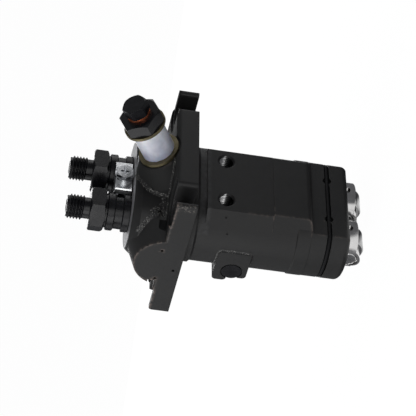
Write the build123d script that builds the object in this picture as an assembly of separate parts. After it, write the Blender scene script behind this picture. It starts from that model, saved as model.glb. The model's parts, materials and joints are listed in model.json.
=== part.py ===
from build123d import *
import os
from math import acos, atan2, cos, pi, radians, sin, sqrt, tan

# Two-plunger in-line diesel injection pump with its own roller tappets, bolted down by a slotted flange.
# Millimetres. Z runs along the plungers and points to the outlets, X along the row of plungers,
# and -Y is the front, with the fuel inlet. The origin is the middle of the flange's mounting face.

# Driving dimensions: plunger row
plunger_pitch = 25.0
plunger_radius = 3.25
row = ((1, plunger_pitch / 2), (2, -plunger_pitch / 2))

# Flange and its open slots for the mounting studs
flange_width = 76.2
flange_front = 39.1
flange_back = 39.8
flange_thickness = 10.7
flange_back_rounding = 2.6
flange_side_rounding = 1.3
prong_front = 38.4
prong_rounding = 1.5
slot_mouth_rounding = 2.0
slot_spacing_x = 60.0
slot_spacing_y = 56.8
slot_width = 10.0
spot_face_radius = 9.0
spot_face_depth = 0.9

# Head casting above the flange
head_radius = 20.0
head_top = 26.8
head_edge = 0.5
head_slope_start = 23.0
head_top_radius = 19.7
head_top_centres = 17.6
lobe_z = 7.0
lobe_face_radius = 16.1
lobe_face_y = 3.7
lobe_radius = 20.4
lobe_y = 2.0
lobe_taper = 13.1
lobe_root_radius = 19.0
lobe_reach = 25.6
nut_pocket_radius = 14.5
nut_pocket_height = 3.5

# Body casting below the flange
body_radius = 18.3
body_end = -79.2
pilot_radius = body_radius + 1.0
pilot_length = 5.0
pilot_edge = 1.2
band_radius = body_radius + 0.45
band_top = -52.8
pad_face = body_radius + 1.0
pad_half_width = 19.3
pad_top = -8.0
pad_step = -40.5
pad_end = -59.7
pad_lower_rise = 0.4
pad_lower_half_width = 18.4
pad_shoulder_rounding = 2.9
pad_corner_rounding = 1.4
end_radius = body_radius + 0.25
end_flat = 15.25
end_edge = 2.7

# Tapped holes in the front pad
tapped_hole_spacing = plunger_pitch
tapped_hole_radius = 3.4
tapped_hole_mouth = 4.3
tapped_hole_depth = 8.0
tapped_hole_z = -17.3

# Retaining groove and its wire ring
groove_z = body_end + 10.6
groove_width = 2.4
groove_depth = 1.9
ring_wire_radius = 0.9
ring_corner = 2.5
ring_gap = 8.0

# Bores on each plunger axis
holder_bore_radius = 9.05
barrel_top = 12.0
barrel_ledge = 4.0
gallery_top = 1.0
gallery_bottom = -7.0
gallery_radius = 9.8
chamber_top = -19.0
chamber_radius = 9.6
spring_ledge = -31.5
tappet_bore_radius = 11.24
cross_drill_radius = 2.4

# Running clearances, on the radius
slide_gap = 0.04
turn_gap = 0.05
press_gap = 0.02
loose_gap = 0.2
seat_gap = 0.02

# Fuel inlet, tilted towards the outlets
inlet_tilt = 30.8
inlet_aim_z = -1.65
inlet_seat = 38.0
inlet_boss_radius = 11.0
inlet_boss_root_radius = 16.0
inlet_boss_start = 18.0
inlet_boss_flare = 28.0
inlet_boss_edge = 0.4
inlet_spot_face_radius = 11.2
inlet_spot_face_reach = 12.0
inlet_bore_depth = 15.0
inlet_passage_radius = 3.0
inlet_thread_radius = 7.0
inlet_shank_radius = 6.2
inlet_washer_radius = 10.0
inlet_washer_thickness = 1.5
sleeve_length = 17.0
sleeve_radius = 7.9
hollow_hex = 18.0
hollow_hex_height = 6.6
hollow_hex_turn = -36.8
hollow_bore_radius = 3.0
cross_hole_radius = 1.8
bleed_radius = 4.0
bleed_length = 7.0
bleed_hex = 10.6
bleed_hex_turn = -15.0
bleed_head_height = 5.7
bleed_washer_radius = 5.6
bleed_washer_thickness = 1.1

# Barrel
barrel_head_radius = 8.95
barrel_radius = 7.05
barrel_neck_radius = 5.5
barrel_bottom = -32.0
port_radius = 1.2
port_z = -3.0

# Delivery valve and its seat
valve_seat_radius = 8.4
valve_seat_flange = 3.0
valve_seat_boss_radius = 5.2
valve_seat_boss = 4.0
valve_guide_radius = 3.0
valve_head_radius = 4.0
valve_head_height = 1.4
valve_stem_length = 6.0
valve_spigot_radius = 1.8
valve_spigot_length = 2.6
gasket_thickness = 1.2
valve_spring_radius = 3.1
valve_spring_wire = 0.8
valve_spring_turns = 6

# Delivery valve holder
holder_foot_gap = 0.25
holder_collar_radius = 9.35
holder_groove_radius = 8.2
holder_lower_collar_top = 30.4
holder_upper_collar_bottom = 34.1
holder_upper_collar_top = 37.9
holder_hex = 19.0
holder_hex_bottom = 38.7
holder_hex_top = 46.0
holder_neck_radius = 5.2
holder_thread_bottom = 48.7
holder_thread_radius = 6.0
holder_tip = 57.2
holder_tip_chamfer = 0.8
holder_cavity_radius = 4.6
holder_cavity_top = 36.0
holder_passage_radius = 1.2
holder_seat_radius = 3.4
holder_edge = 0.4
seal_bottom = 20.8
seal_height = 2.2
seal_depth = 1.0

# Lock jaws between the holders
jaw_right_end = 9.7
jaw_left_end = 8.1
jaw_bottom = 27.5
jaw_height = 8.0
jaw_face = 11.8
jaw_nose = 4.6
jaw_edge = 0.5
lock_screw_radius = 2.5
lock_screw_hex = 8.0
lock_screw_flange_radius = 4.6
lock_screw_flange = 1.0
lock_screw_head_height = 3.0
lock_washer_thickness = 1.2
lock_washer_radius = 4.5

# Control rack and toothed sleeves
tooth_module = 0.8
tooth_count = 20
tooth_addendum = 0.7
tooth_dedendum = 0.95
tooth_backlash = 0.2
pressure_angle = 20.0
rack_travel = 8.0
rack_radius = 4.85
rack_z = -25.7
rack_flat_offset = 2.9
rack_end = 37.5
rack_tongue = 4.0
rack_tongue_length = 5.6
rack_keyway_width = 3.0
rack_keyway_depth = 1.5
link_pin_radius = 1.75
link_pin_length = 12.0
link_pin_inset = 2.6
sleeve_wall_radius = 6.9
sleeve_top = -19.6
sleeve_bottom = -46.5
sleeve_slot_top = -33.0
sleeve_rim_bottom = -31.2
vane_bottom = -45.0
vane_height = 3.0
vane_thickness = 3.0
vane_inset = 0.3

# Side bosses that carry the rack
rack_boss_face = 31.2
rack_boss_front = -2.8
rack_boss_back = 15.0
rack_boss_top = -17.0
rack_boss_bottom = -33.3
rack_boss_corner = 2.0
lug_length = 2.7
lug_height = 7.0
guide_boss_radius = 6.0
guide_boss_face = 21.5
guide_screw_radius = 3.0
guide_tip_radius = 1.4
guide_screw_hex = 10.0
guide_head_height = 4.0
guide_washer_radius = 5.6
guide_washer_thickness = 1.0

# Plunger spring and its seats
spring_radius = 8.6
spring_wire = 2.3
spring_turns = 5
spring_seat_thickness = 2.0
lower_seat_radius = 9.85
plunger_top = -4.6
plunger_neck_radius = 2.2
plunger_foot_radius = 4.1
plunger_foot_height = 2.0
scroll_groove_radius = 2.4
scroll_groove_height = 3.0
scroll_land = 6.0

# Tappet, roller and guide pin
tappet_end = body_end - 5.2
tappet_rim = tappet_end + 25.7
tappet_floor = tappet_rim - 3.5
tappet_edge = 0.3
pin_lug_radius = 5.5
roller_z = body_end - 2.4
roller_radius = 7.5
roller_length = 10.4
roller_edge = 0.6
roller_side_gap = 0.2
roller_roof_gap = 0.6
bush_radius = 5.0
roller_pin_radius = 3.7
roller_pin_length = 20.8
pin_mouth_radius = 4.4
guide_pin_radius = 1.6
guide_slot_gap = 0.1
guide_slot_bottom = body_end - 2.5
guide_slot_top = groove_z + 2.0
guide_slot_floor = 9.4
guide_pin_tip_gap = 0.2

# Sizes that follow from the ones above
flange_half_width = flange_width / 2
tooth_pitch_radius = tooth_module * tooth_count / 2
rack_y = tooth_pitch_radius + rack_flat_offset
tappet_radius = tappet_bore_radius - slide_gap
barrel_bore_radius = barrel_radius + press_gap
lower_seat_bottom = tappet_floor + plunger_foot_height
lower_seat_top = lower_seat_bottom + spring_seat_thickness
upper_seat_bottom = spring_ledge - spring_seat_thickness
valve_seat_top = barrel_top + valve_seat_flange + valve_seat_boss
holder_bottom = barrel_top + valve_seat_flange + gasket_thickness
jaw_top = jaw_bottom + jaw_height
jaw_middle = (jaw_bottom + jaw_top) / 2
over = 1.0


def rod(radius, low, high):
    """Upright cylinder on the Z axis between two heights."""
    return Pos(0, 0, (low + high) / 2) * Cylinder(radius, high - low)


def ring(outer, inner, low, high):
    """Upright ring on the Z axis between two heights."""
    return rod(outer, low, high) - rod(inner, low - over, high + over)


def turned(corners):
    """Solid turned about Z from its half section, given as (radius, height) corners."""
    section = make_face(Plane.XZ * Polyline(*corners, close=True))
    return revolve(section, Axis.Z)


def block(x_low, x_high, y_low, y_high, z_low, z_high):
    """Box between two corners."""
    middle = Pos((x_low + x_high) / 2, (y_low + y_high) / 2, (z_low + z_high) / 2)
    return middle * Box(x_high - x_low, y_high - y_low, z_high - z_low)


def cross_rod(radius, x_low, x_high, y, z):
    """Cylinder lying along X."""
    return Pos((x_low + x_high) / 2, y, z) * Rot(0, 90, 0) * Cylinder(radius, x_high - x_low)


def front_rod(radius, y_low, y_high, x, z):
    """Cylinder lying along Y."""
    return Pos(x, (y_low + y_high) / 2, z) * Rot(90, 0, 0) * Cylinder(radius, y_high - y_low)


def stadium(radius, low, high):
    """Upright rounds about both plunger axes with flats between them."""
    outline = SlotCenterToCenter(plunger_pitch, 2 * radius)
    return Pos(0, 0, low) * extrude(outline, high - low)


def hexagon(flats, low, high, edge):
    """Upright hexagon bar with its corners turned off at both ends."""
    corner = flats / sqrt(3)
    bar = Pos(0, 0, low) * extrude(RegularPolygon(corner, 6), high - low)
    slope = corner - flats / 2 + edge
    rise = slope * tan(radians(30))
    barrel = turned([
        (0, low), (corner - slope + edge, low), (corner + edge, low + rise),
        (corner + edge, high - rise), (corner - slope + edge, high), (0, high),
    ])
    return bar & barrel


def row_of(shape):
    """The same tool on every plunger axis."""
    return [Pos(x, 0, 0) * shape for _, x in row]


def tilted(shape):
    """Turns a shape built along Z onto the inlet's axis, which leaves the origin to the front and up."""
    return Pos(0, 0, inlet_aim_z) * Rot(90 - inlet_tilt, 0, 0) * shape


def coil(mean_radius, wire, low, high, turns):
    """Coil spring of square wire between two heights."""
    start = low + wire / 2
    length = high - low - wire
    path = Pos(0, 0, start) * Helix(length / turns, length, mean_radius)
    section = Plane(path @ 0, z_dir=path % 0) * Rectangle(wire, wire)
    return sweep(section, path=path, is_frenet=True)


def flank_point(corner_x, corner_y, centre_x, radius):
    """Where the tangent from a pad corner meets the round of the body."""
    away_x = corner_x - centre_x
    distance = sqrt(away_x ** 2 + corner_y ** 2)
    turn = acos(radius / distance)
    angle = atan2(corner_y, away_x) + turn
    return centre_x + radius * cos(angle), radius * sin(angle)


def front_pad(half_width, face, low, high):
    """Flat front pad whose flanks run smoothly into the rounds of the body."""
    right = flank_point(half_width, -face, plunger_pitch / 2, body_radius)
    outline = Polyline(
        (0, 0), right, (half_width, -face), (-half_width, -face), (-right[0], right[1]),
        close=True,
    )
    return Pos(0, 0, low) * extrude(make_face(outline), high - low)


def panel(x_low, x_high, y_low, y_high):
    """Flat rectangle between two corners."""
    middle = Pos((x_low + x_high) / 2, (y_low + y_high) / 2)
    return middle * Rectangle(x_high - x_low, y_high - y_low)


def side_section(*corners):
    """Face in the plane through the front and the plungers, from its (y, z) corners."""
    return make_face(Plane.YZ * Polyline(*corners, close=True))


def end_outline():
    """Outline of the tappet end of the body, with its front flat."""
    rounds = SlotCenterToCenter(plunger_pitch, 2 * end_radius)
    cut = Pos(0, -end_flat - end_radius) * Rectangle(4 * end_radius + plunger_pitch, 2 * end_radius)
    return rounds - cut


# Housing
def slot_places():
    """Root of each stud slot and how far the slot runs past the flange's edge."""
    rim = max(flange_front, flange_back) + over
    return [
        (side_x * slot_spacing_x / 2, side_y * slot_spacing_y / 2, side_y * rim)
        for side_x in (1, -1) for side_y in (1, -1)
    ]


def flange():
    """Slotted mounting flange with spot faces on the outlet side and rounded prongs in front."""
    half, wide = slot_width / 2, spot_face_radius
    outline = panel(-flange_half_width, flange_half_width, -flange_front, flange_back)
    for side in (1, -1):
        slot_x, edge_x = side * slot_spacing_x / 2, side * (flange_half_width + over)
        x_low, x_high = min(slot_x, edge_x), max(slot_x, edge_x)
        outline -= panel(x_low, x_high, -flange_front - over, -prong_front)
    for x, y, rim in slot_places():
        outline -= panel(x - half, x + half, min(y, rim), max(y, rim))
        outline -= Pos(x, y) * Circle(half)
    front = [vertex for vertex in outline.vertices() if vertex.Y < over - prong_front]
    inner = [vertex for vertex in front if abs(vertex.X) < slot_spacing_x / 2]
    outline = fillet(inner, slot_mouth_rounding)
    outer = [
        vertex for vertex in outline.vertices()
        if vertex.Y < over / 2 - prong_front and abs(vertex.X) > slot_spacing_x / 2
    ]
    plate = extrude(fillet(outer, prong_rounding), flange_thickness)
    top_edges = plate.edges().group_by(Axis.Z)[-1].group_by(Axis.Y)[-1]
    plate = fillet(top_edges, flange_back_rounding)
    straight = plate.edges().filter_by(Axis.Y).group_by(Axis.Z)[-1]
    by_side = straight.group_by(Axis.X)
    plate = fillet(by_side[0] + by_side[-1], flange_side_rounding)
    floor, above = flange_thickness - spot_face_depth, flange_thickness + over
    for x, y, rim in slot_places():
        plate -= block(x - wide, x + wide, min(y, rim), max(y, rim), floor, above)
        plate -= Pos(x, y, 0) * rod(wide, floor, above)
    return plate


def head():
    """Head casting that holds the valve holders, with its side lobe and the inlet boss."""
    casting = stadium(head_radius, 0, head_slope_start)
    slope = loft([
        Pos(0, 0, head_slope_start) * SlotCenterToCenter(plunger_pitch, 2 * head_radius),
        Pos(0, 0, head_top) * SlotCenterToCenter(head_top_centres, 2 * head_top_radius),
    ], ruled=True)
    slope = chamfer(slope.faces().sort_by(Axis.Z)[-1].edges(), head_edge)
    sideways = Rot(0, 90, 0)
    lobe = loft([
        Pos(-flange_half_width, lobe_face_y, lobe_z) * sideways * Circle(lobe_face_radius),
        Pos(lobe_taper - flange_half_width, lobe_y, lobe_z) * sideways * Circle(lobe_radius),
        Pos(lobe_reach - flange_half_width, 0, lobe_z) * sideways * Circle(lobe_root_radius),
    ], ruled=True)
    pocket = rod(nut_pocket_radius, 0, flange_thickness + nut_pocket_height)
    for x, y, _ in slot_places():
        if x < 0:
            lobe -= Pos(x, y, 0) * pocket
    boss = turned([
        (0, inlet_boss_start), (inlet_boss_root_radius, inlet_boss_start),
        (inlet_boss_root_radius, inlet_boss_flare), (inlet_boss_radius, inlet_seat - inlet_boss_edge),
        (inlet_boss_radius - inlet_boss_edge, inlet_seat), (0, inlet_seat),
    ])
    reach = 2 * flange_half_width
    between = block(-reach, reach, -reach, reach, 0, head_top)
    return casting + slope + (lobe & between) + (tilted(boss) & between)


def side_bosses():
    """Flat-faced bosses where the control rack passes out of the body, and the guide screw's boss."""
    bosses = []
    for side in (1, -1):
        x_near, x_far = side * plunger_pitch / 2, side * rack_boss_face
        boss = block(
            min(x_near, x_far), max(x_near, x_far), rack_boss_front, rack_boss_back,
            rack_boss_bottom, rack_boss_top,
        )
        bosses.append(fillet(boss.edges().filter_by(Axis.X), rack_boss_corner))
    lug = block(
        -rack_boss_face, -plunger_pitch / 2, rack_boss_back - rack_boss_corner,
        rack_boss_back + lug_length, rack_boss_top - lug_height, rack_boss_top,
    )
    bosses.append(fillet(lug.edges().filter_by(Axis.X), rack_boss_corner))
    bosses.append(front_rod(guide_boss_radius, body_radius - over, guide_boss_face, 0, rack_z))
    return bosses


def front_relief():
    """Cutter for the flat in front of the tappets, with the rounded shoulder under the pad."""
    face = pad_face + pad_lower_rise
    shoulder_end = pad_end + 2 * pad_shoulder_rounding
    section = side_section(
        (-end_flat, body_end - over), (-end_flat, pad_end), (-face, pad_end), (-face, shoulder_end),
        (-2 * face, shoulder_end), (-2 * face, body_end - over),
    )
    by_depth = section.vertices().group_by(Axis.Y)
    corner = by_depth[-1].sort_by(Axis.Z)[-1]
    section = fillet(corner, pad_corner_rounding)
    shoulder = [
        vertex for vertex in section.vertices()
        if abs(vertex.Y + face) < seat_gap and abs(vertex.Z - pad_end) < seat_gap
    ]
    section = fillet(shoulder, pad_shoulder_rounding)
    return extrude(section, 2 * flange_half_width, both=True)


def body():
    """Body casting below the flange, before its bores."""
    casting = stadium(body_radius, band_top, 0)
    pilot = stadium(pilot_radius, -pilot_length, 0)
    casting += chamfer(pilot.faces().sort_by(Axis.Z)[0].edges(), pilot_edge)
    casting += front_pad(pad_half_width, pad_face, pad_step, pad_top)
    casting += front_pad(pad_lower_half_width, pad_face + pad_lower_rise, pad_end, pad_step)
    band = stadium(band_radius, pad_end, band_top)
    casting += chamfer(band.edges().group_by(Axis.Z)[-1], band_radius - body_radius - seat_gap)
    casting += stadium(end_radius, groove_z, pad_end)
    foot = Pos(0, 0, body_end) * extrude(end_outline(), groove_z - body_end)
    foot = fillet(foot.faces().sort_by(Axis.Z)[0].edges(), end_edge)
    return casting + foot - front_relief()


def plunger_bores():
    """Everything bored on one plunger axis, from the head's top face to the tappet end."""
    tool = rod(holder_bore_radius, barrel_ledge, head_top + over)
    tool += rod(barrel_bore_radius, chamber_top - over, barrel_ledge + over)
    tool += rod(gallery_radius, gallery_bottom, gallery_top)
    tool += rod(chamber_radius, spring_ledge - over, chamber_top)
    tool += rod(tappet_bore_radius, body_end - over, spring_ledge)
    return tool


def inlet_bores():
    """Spot face, threaded inlet hole and passage down to the drilling between the two galleries."""
    tool = tilted(rod(inlet_thread_radius + turn_gap, inlet_seat - inlet_bore_depth, inlet_seat + over))
    tool += tilted(rod(inlet_spot_face_radius, inlet_seat, inlet_seat + inlet_spot_face_reach))
    tool += tilted(rod(inlet_passage_radius, 0, inlet_seat))
    gallery_middle = (gallery_top + gallery_bottom) / 2
    tool += cross_rod(cross_drill_radius, -plunger_pitch / 2, plunger_pitch / 2, 0, gallery_middle)
    tool += rod(cross_drill_radius, gallery_middle, inlet_passage_radius)
    return tool


def tapped_hole(x):
    """Blind tapped hole in the front pad, with a countersunk mouth."""
    mouth_depth = tapped_hole_mouth - tapped_hole_radius
    hole = rod(tapped_hole_radius, -tapped_hole_depth, over)
    hole += turned([
        (0, -mouth_depth), (tapped_hole_radius, -mouth_depth), (tapped_hole_mouth, 0), (0, 0),
    ])
    return Pos(x, -pad_face, tapped_hole_z) * Rot(90, 0, 0) * hole


def pump_housing():
    """The one-piece cast housing."""
    housing = flange() + head() + body()
    for boss in side_bosses():
        housing += boss
    groove = Pos(0, 0, groove_z - groove_width / 2) * extrude(
        end_outline() - offset(end_outline(), -groove_depth), groove_width
    )
    housing -= groove
    for tool in row_of(plunger_bores()):
        housing -= tool
    housing -= inlet_bores()
    for side in (1, -1):
        housing -= tapped_hole(side * tapped_hole_spacing / 2)
    reach = rack_boss_face + over
    housing -= cross_rod(rack_radius + turn_gap, -reach, reach, rack_y, rack_z)
    housing -= front_rod(guide_screw_radius + press_gap, rack_y, guide_boss_face + over, 0, rack_z)
    for _, x in row:
        housing -= front_rod(guide_pin_radius + press_gap, -end_flat, 0, x, groove_z)
    return housing


# Pieces on one plunger axis, all built about Z and moved to their place at the end
def plunger_barrel():
    """Barrel with its locating head, two fuel ports and the neck that carries the control sleeve."""
    barrel = rod(barrel_head_radius, barrel_ledge, barrel_top)
    barrel += rod(barrel_radius, chamber_top, barrel_ledge)
    barrel += rod(barrel_neck_radius, barrel_bottom, chamber_top)
    barrel -= rod(plunger_radius + turn_gap, barrel_bottom - over, barrel_top + over)
    barrel -= front_rod(port_radius, -barrel_radius - over, barrel_radius + over, 0, port_z)
    return barrel


def delivery_valve_seat():
    """Seat with the flange that the holder clamps and the guide bore for the valve."""
    flange_top = barrel_top + valve_seat_flange
    return turned([
        (valve_guide_radius, barrel_top), (valve_seat_radius, barrel_top),
        (valve_seat_radius, flange_top), (valve_seat_boss_radius, flange_top),
        (valve_seat_boss_radius, valve_seat_top), (valve_guide_radius, valve_seat_top),
    ])


def seat_gasket():
    """Soft ring between the seat's flange and the holder."""
    hole = valve_seat_boss_radius + loose_gap
    return ring(valve_seat_radius, hole, barrel_top + valve_seat_flange, holder_bottom)


def delivery_valve():
    """Valve with its guide piston, relief collar, head and spring spigot."""
    guide = valve_guide_radius - slide_gap
    head_bottom = valve_seat_top + seat_gap
    head_top_z = head_bottom + valve_head_height
    relief = valve_spigot_radius
    collar_height = 1.4
    valve = turned([
        (0, head_bottom - valve_stem_length), (guide, head_bottom - valve_stem_length),
        (guide, head_bottom - 2 * collar_height), (relief, head_bottom - 2 * collar_height),
        (relief, head_bottom - collar_height), (guide, head_bottom - collar_height),
        (guide, head_bottom), (valve_head_radius, head_bottom), (valve_head_radius, head_top_z),
        (valve_spigot_radius, head_top_z), (valve_spigot_radius, head_top_z + valve_spigot_length),
        (0, head_top_z + valve_spigot_length),
    ])
    flute = block(
        guide - collar_height, guide + over, -collar_height / 2, collar_height / 2,
        head_bottom - valve_stem_length - over, head_bottom - 2 * collar_height,
    )
    for number in range(4):
        valve -= Rot(0, 0, 45 + 90 * number) * flute
    return valve


def delivery_valve_spring():
    """Light spring between the valve's head and the holder."""
    low = valve_seat_top + seat_gap + valve_head_height
    return coil(valve_spring_radius, valve_spring_wire, low, holder_cavity_top, valve_spring_turns)


def delivery_valve_holder():
    """Threaded holder with its two lock collars, hexagon and threaded outlet."""
    stem = holder_bore_radius - turn_gap
    collar, edge = holder_collar_radius, holder_edge
    foot = head_top + holder_foot_gap
    holder = turned([
        (0, holder_bottom), (stem, holder_bottom), (stem, seal_bottom), (stem - seal_depth, seal_bottom),
        (stem - seal_depth, seal_bottom + seal_height), (stem, seal_bottom + seal_height),
        (stem, foot), (collar, foot), (collar, holder_lower_collar_top - edge),
        (collar - edge, holder_lower_collar_top), (holder_groove_radius, holder_lower_collar_top),
        (holder_groove_radius, holder_upper_collar_bottom), (collar - edge, holder_upper_collar_bottom),
        (collar, holder_upper_collar_bottom + edge), (collar, holder_upper_collar_top - edge),
        (collar - edge, holder_upper_collar_top), (holder_groove_radius, holder_upper_collar_top),
        (holder_groove_radius, holder_hex_bottom), (holder_neck_radius, holder_hex_bottom + over),
        (holder_neck_radius, holder_thread_bottom),
        (holder_thread_radius, holder_thread_bottom + holder_tip_chamfer),
        (holder_thread_radius, holder_tip - holder_tip_chamfer),
        (holder_thread_radius - holder_tip_chamfer, holder_tip), (0, holder_tip),
    ])
    holder += hexagon(holder_hex, holder_hex_bottom, holder_hex_top, edge)
    seat_depth = holder_seat_radius - holder_passage_radius
    bore = rod(holder_passage_radius, holder_bottom - over, holder_tip + over)
    bore += rod(holder_cavity_radius, holder_bottom - over, holder_cavity_top)
    bore += rod(valve_seat_boss_radius + loose_gap, holder_bottom - over, valve_seat_top + loose_gap)
    bore += turned([
        (0, holder_tip - seat_depth), (holder_passage_radius, holder_tip - seat_depth),
        (holder_seat_radius, holder_tip), (0, holder_tip),
    ])
    return holder - bore


def holder_seal():
    """Rubber ring in the holder's groove."""
    stem = holder_bore_radius - turn_gap
    side = loose_gap / 2
    return ring(stem, stem - seal_depth + seat_gap, seal_bottom + side, seal_bottom + seal_height - side)


def gear_outline():
    """Involute teeth of the control sleeve, with one tooth on the Y axis."""
    alpha = radians(pressure_angle)
    base = tooth_pitch_radius * cos(alpha)
    tip = tooth_pitch_radius + tooth_addendum
    root = tooth_pitch_radius - tooth_dedendum
    half_tooth = (pi * tooth_module - tooth_backlash) / (4 * tooth_pitch_radius)
    involute_at_pitch = tan(alpha) - alpha
    steps = 3
    corners = []
    for tooth in range(tooth_count):
        middle = pi / 2 + tooth * 2 * pi / tooth_count
        flank = []
        for step in range(steps + 1):
            radius = base + (tip - base) * step / steps
            roll = sqrt((radius / base) ** 2 - 1)
            half = half_tooth + involute_at_pitch - (roll - atan2(roll, 1))
            flank.append((radius, half))
        flank.insert(0, (root, flank[0][1]))
        corners += [(r * cos(middle - a), r * sin(middle - a)) for r, a in flank]
        corners += [(r * cos(middle + a), r * sin(middle + a)) for r, a in reversed(flank)]
    return Polyline(*corners, close=True)


def control_sleeve():
    """Sleeve that turns the plunger: toothed rim above, two slots for the plunger's vane below."""
    rim = extrude(make_face(gear_outline()), sleeve_top - sleeve_rim_bottom)
    sleeve = Pos(0, 0, sleeve_rim_bottom) * rim + rod(sleeve_wall_radius, sleeve_bottom, sleeve_top)
    sleeve -= rod(barrel_neck_radius + turn_gap, sleeve_bottom - over, sleeve_top + over)
    half_slot = vane_thickness / 2 + loose_gap / 2
    reach = sleeve_wall_radius + over
    sleeve -= block(-reach, reach, -half_slot, half_slot, sleeve_bottom - over, sleeve_slot_top)
    return sleeve


def plunger():
    """Plunger with its metering scroll, driving vane and foot."""
    shoulder = lower_seat_top + loose_gap
    foot_top = lower_seat_bottom - seat_gap
    shape = rod(plunger_radius, shoulder, plunger_top)
    shape += rod(plunger_neck_radius, foot_top - over, shoulder)
    shape += rod(plunger_foot_radius, tappet_floor + seat_gap, foot_top)
    half_vane = sleeve_wall_radius - vane_inset
    shape += block(
        -half_vane, half_vane, -vane_thickness / 2, vane_thickness / 2,
        vane_bottom, vane_bottom + vane_height,
    )
    scroll_bottom = plunger_top - scroll_land - scroll_groove_height
    shape -= ring(plunger_radius + over, scroll_groove_radius, scroll_bottom, plunger_top - scroll_land)
    shape -= block(
        scroll_groove_radius, plunger_radius + over, -over / 2, over / 2,
        scroll_bottom, plunger_top + over,
    )
    scroll_depth = plunger_radius - scroll_groove_radius
    ramp = Rot(45, 0, 0) * Box(2 * scroll_depth, scroll_groove_height, scroll_groove_height)
    return shape - Pos(plunger_radius, 0, plunger_top - scroll_land) * ramp


def upper_spring_seat():
    """Ring that the plunger spring pushes against the body's ledge."""
    outer = tappet_bore_radius - loose_gap / 2
    return ring(outer, sleeve_wall_radius + loose_gap, upper_seat_bottom, spring_ledge)


def plunger_spring():
    """Return spring between the two seats."""
    return coil(spring_radius, spring_wire, lower_seat_top, upper_seat_bottom, spring_turns)


def lower_spring_seat():
    """Disc with a keyhole that hooks over the plunger's neck."""
    hole = plunger_neck_radius + loose_gap
    seat = rod(lower_seat_radius, lower_seat_bottom, lower_seat_top)
    seat -= rod(hole, lower_seat_bottom - over, lower_seat_top + over)
    low, high = lower_seat_bottom - over, lower_seat_top + over
    return seat - block(-hole, hole, 0, lower_seat_radius + over, low, high)


def tappet_body():
    """Tappet with its spring cup, roller pocket, pin hole and the slot for the guide pin."""
    body_shape = rod(tappet_radius, tappet_end, tappet_rim)
    body_shape = chamfer(body_shape.edges().group_by(Axis.Z)[0], tappet_edge)
    lug_bottom = roller_z - pin_lug_radius - over
    lugs = cross_rod(pin_lug_radius, -tappet_radius, tappet_radius, 0, roller_z)
    body_shape += lugs & rod(tappet_radius, lug_bottom, tappet_floor)
    body_shape -= rod(lower_seat_radius + turn_gap, tappet_floor, tappet_rim + over)
    half_length = roller_length / 2 + roller_side_gap
    half_width = roller_radius + roller_roof_gap
    roof = roller_z + roller_radius + roller_roof_gap
    body_shape -= block(-half_length, half_length, -half_width, half_width, lug_bottom, roof)
    hole_radius = roller_pin_radius + press_gap
    body_shape -= cross_rod(hole_radius, -tappet_radius - over, tappet_radius + over, 0, roller_z)
    mouth_depth = pin_mouth_radius - roller_pin_radius
    for side in (1, -1):
        mouth = turned([
            (0, -mouth_depth - over), (hole_radius, -mouth_depth - over), (pin_mouth_radius, -over / 2),
            (pin_mouth_radius, over), (0, over),
        ])
        body_shape -= Pos(side * tappet_radius, 0, roller_z) * Rot(0, 90 * side, 0) * mouth
    half_slot = guide_pin_radius + guide_slot_gap
    slot_low, slot_high = guide_slot_bottom + half_slot, guide_slot_top - half_slot
    slot_mouth = -tappet_radius - over
    body_shape -= block(-half_slot, half_slot, slot_mouth, -guide_slot_floor, slot_low, slot_high)
    for height in (slot_low, slot_high):
        body_shape -= front_rod(half_slot, slot_mouth, -guide_slot_floor, 0, height)
    return body_shape


def tappet_roller():
    """Hardened roller that runs on the cam."""
    roller = Rot(0, 90, 0) * Cylinder(roller_radius, roller_length)
    roller = chamfer(roller.edges().filter_by(GeomType.CIRCLE), roller_edge)
    bore = Rot(0, 90, 0) * Cylinder(bush_radius + press_gap, roller_length + 2 * over)
    return Pos(0, 0, roller_z) * (roller - bore)


def roller_bush():
    """Floating bush between the roller and its pin."""
    outer = Rot(0, 90, 0) * Cylinder(bush_radius, roller_length)
    inner = Rot(0, 90, 0) * Cylinder(roller_pin_radius + turn_gap, roller_length + 2 * over)
    return Pos(0, 0, roller_z) * (outer - inner)


def roller_pin():
    """Pin held in the tappet."""
    pin = Rot(0, 90, 0) * Cylinder(roller_pin_radius, roller_pin_length)
    pin = chamfer(pin.edges().filter_by(GeomType.CIRCLE), holder_edge)
    return Pos(0, 0, roller_z) * pin


def tappet_guide_pin():
    """Pin in the front wall that keeps the tappet from turning or falling out."""
    outer_end = -end_flat + groove_depth + loose_gap / 2
    return front_rod(guide_pin_radius, outer_end, -guide_slot_floor - guide_pin_tip_gap, 0, groove_z)


# Pieces that serve the whole pump
def retaining_ring():
    """Sprung wire ring in the groove, which keeps the guide pins in."""
    inset = groove_depth - ring_wire_radius - seat_gap
    outline = offset(end_outline(), -inset)
    front = outline.vertices().group_by(Axis.Y)[0]
    path = Pos(0, 0, groove_z) * fillet(front, ring_corner).face().outer_wire()
    section = Plane(path @ 0, z_dir=path % 0) * Circle(ring_wire_radius)
    wire = sweep(section, path=path)
    low, high = groove_z - groove_width, groove_z + groove_width
    return wire - block(-ring_gap / 2, ring_gap / 2, 0, end_radius, low, high)


def lock_plate(face):
    """Jaw that locks both holders; face is -1 for the front jaw and 1 for the rear one."""
    outer, inner = face * jaw_face, face * jaw_nose
    jaw = block(
        -jaw_left_end, jaw_right_end, min(outer, inner), max(outer, inner), jaw_bottom, jaw_top
    )
    jaw = chamfer(jaw.edges().filter_by(Axis.Z), jaw_edge)
    for collar in row_of(rod(holder_collar_radius + loose_gap / 2, jaw_bottom - over, jaw_top + over)):
        jaw -= collar
    hole = lock_screw_radius + (loose_gap if face < 0 else press_gap)
    return jaw - front_rod(hole, -jaw_face - over, jaw_face + over, 0, jaw_middle)


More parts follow.
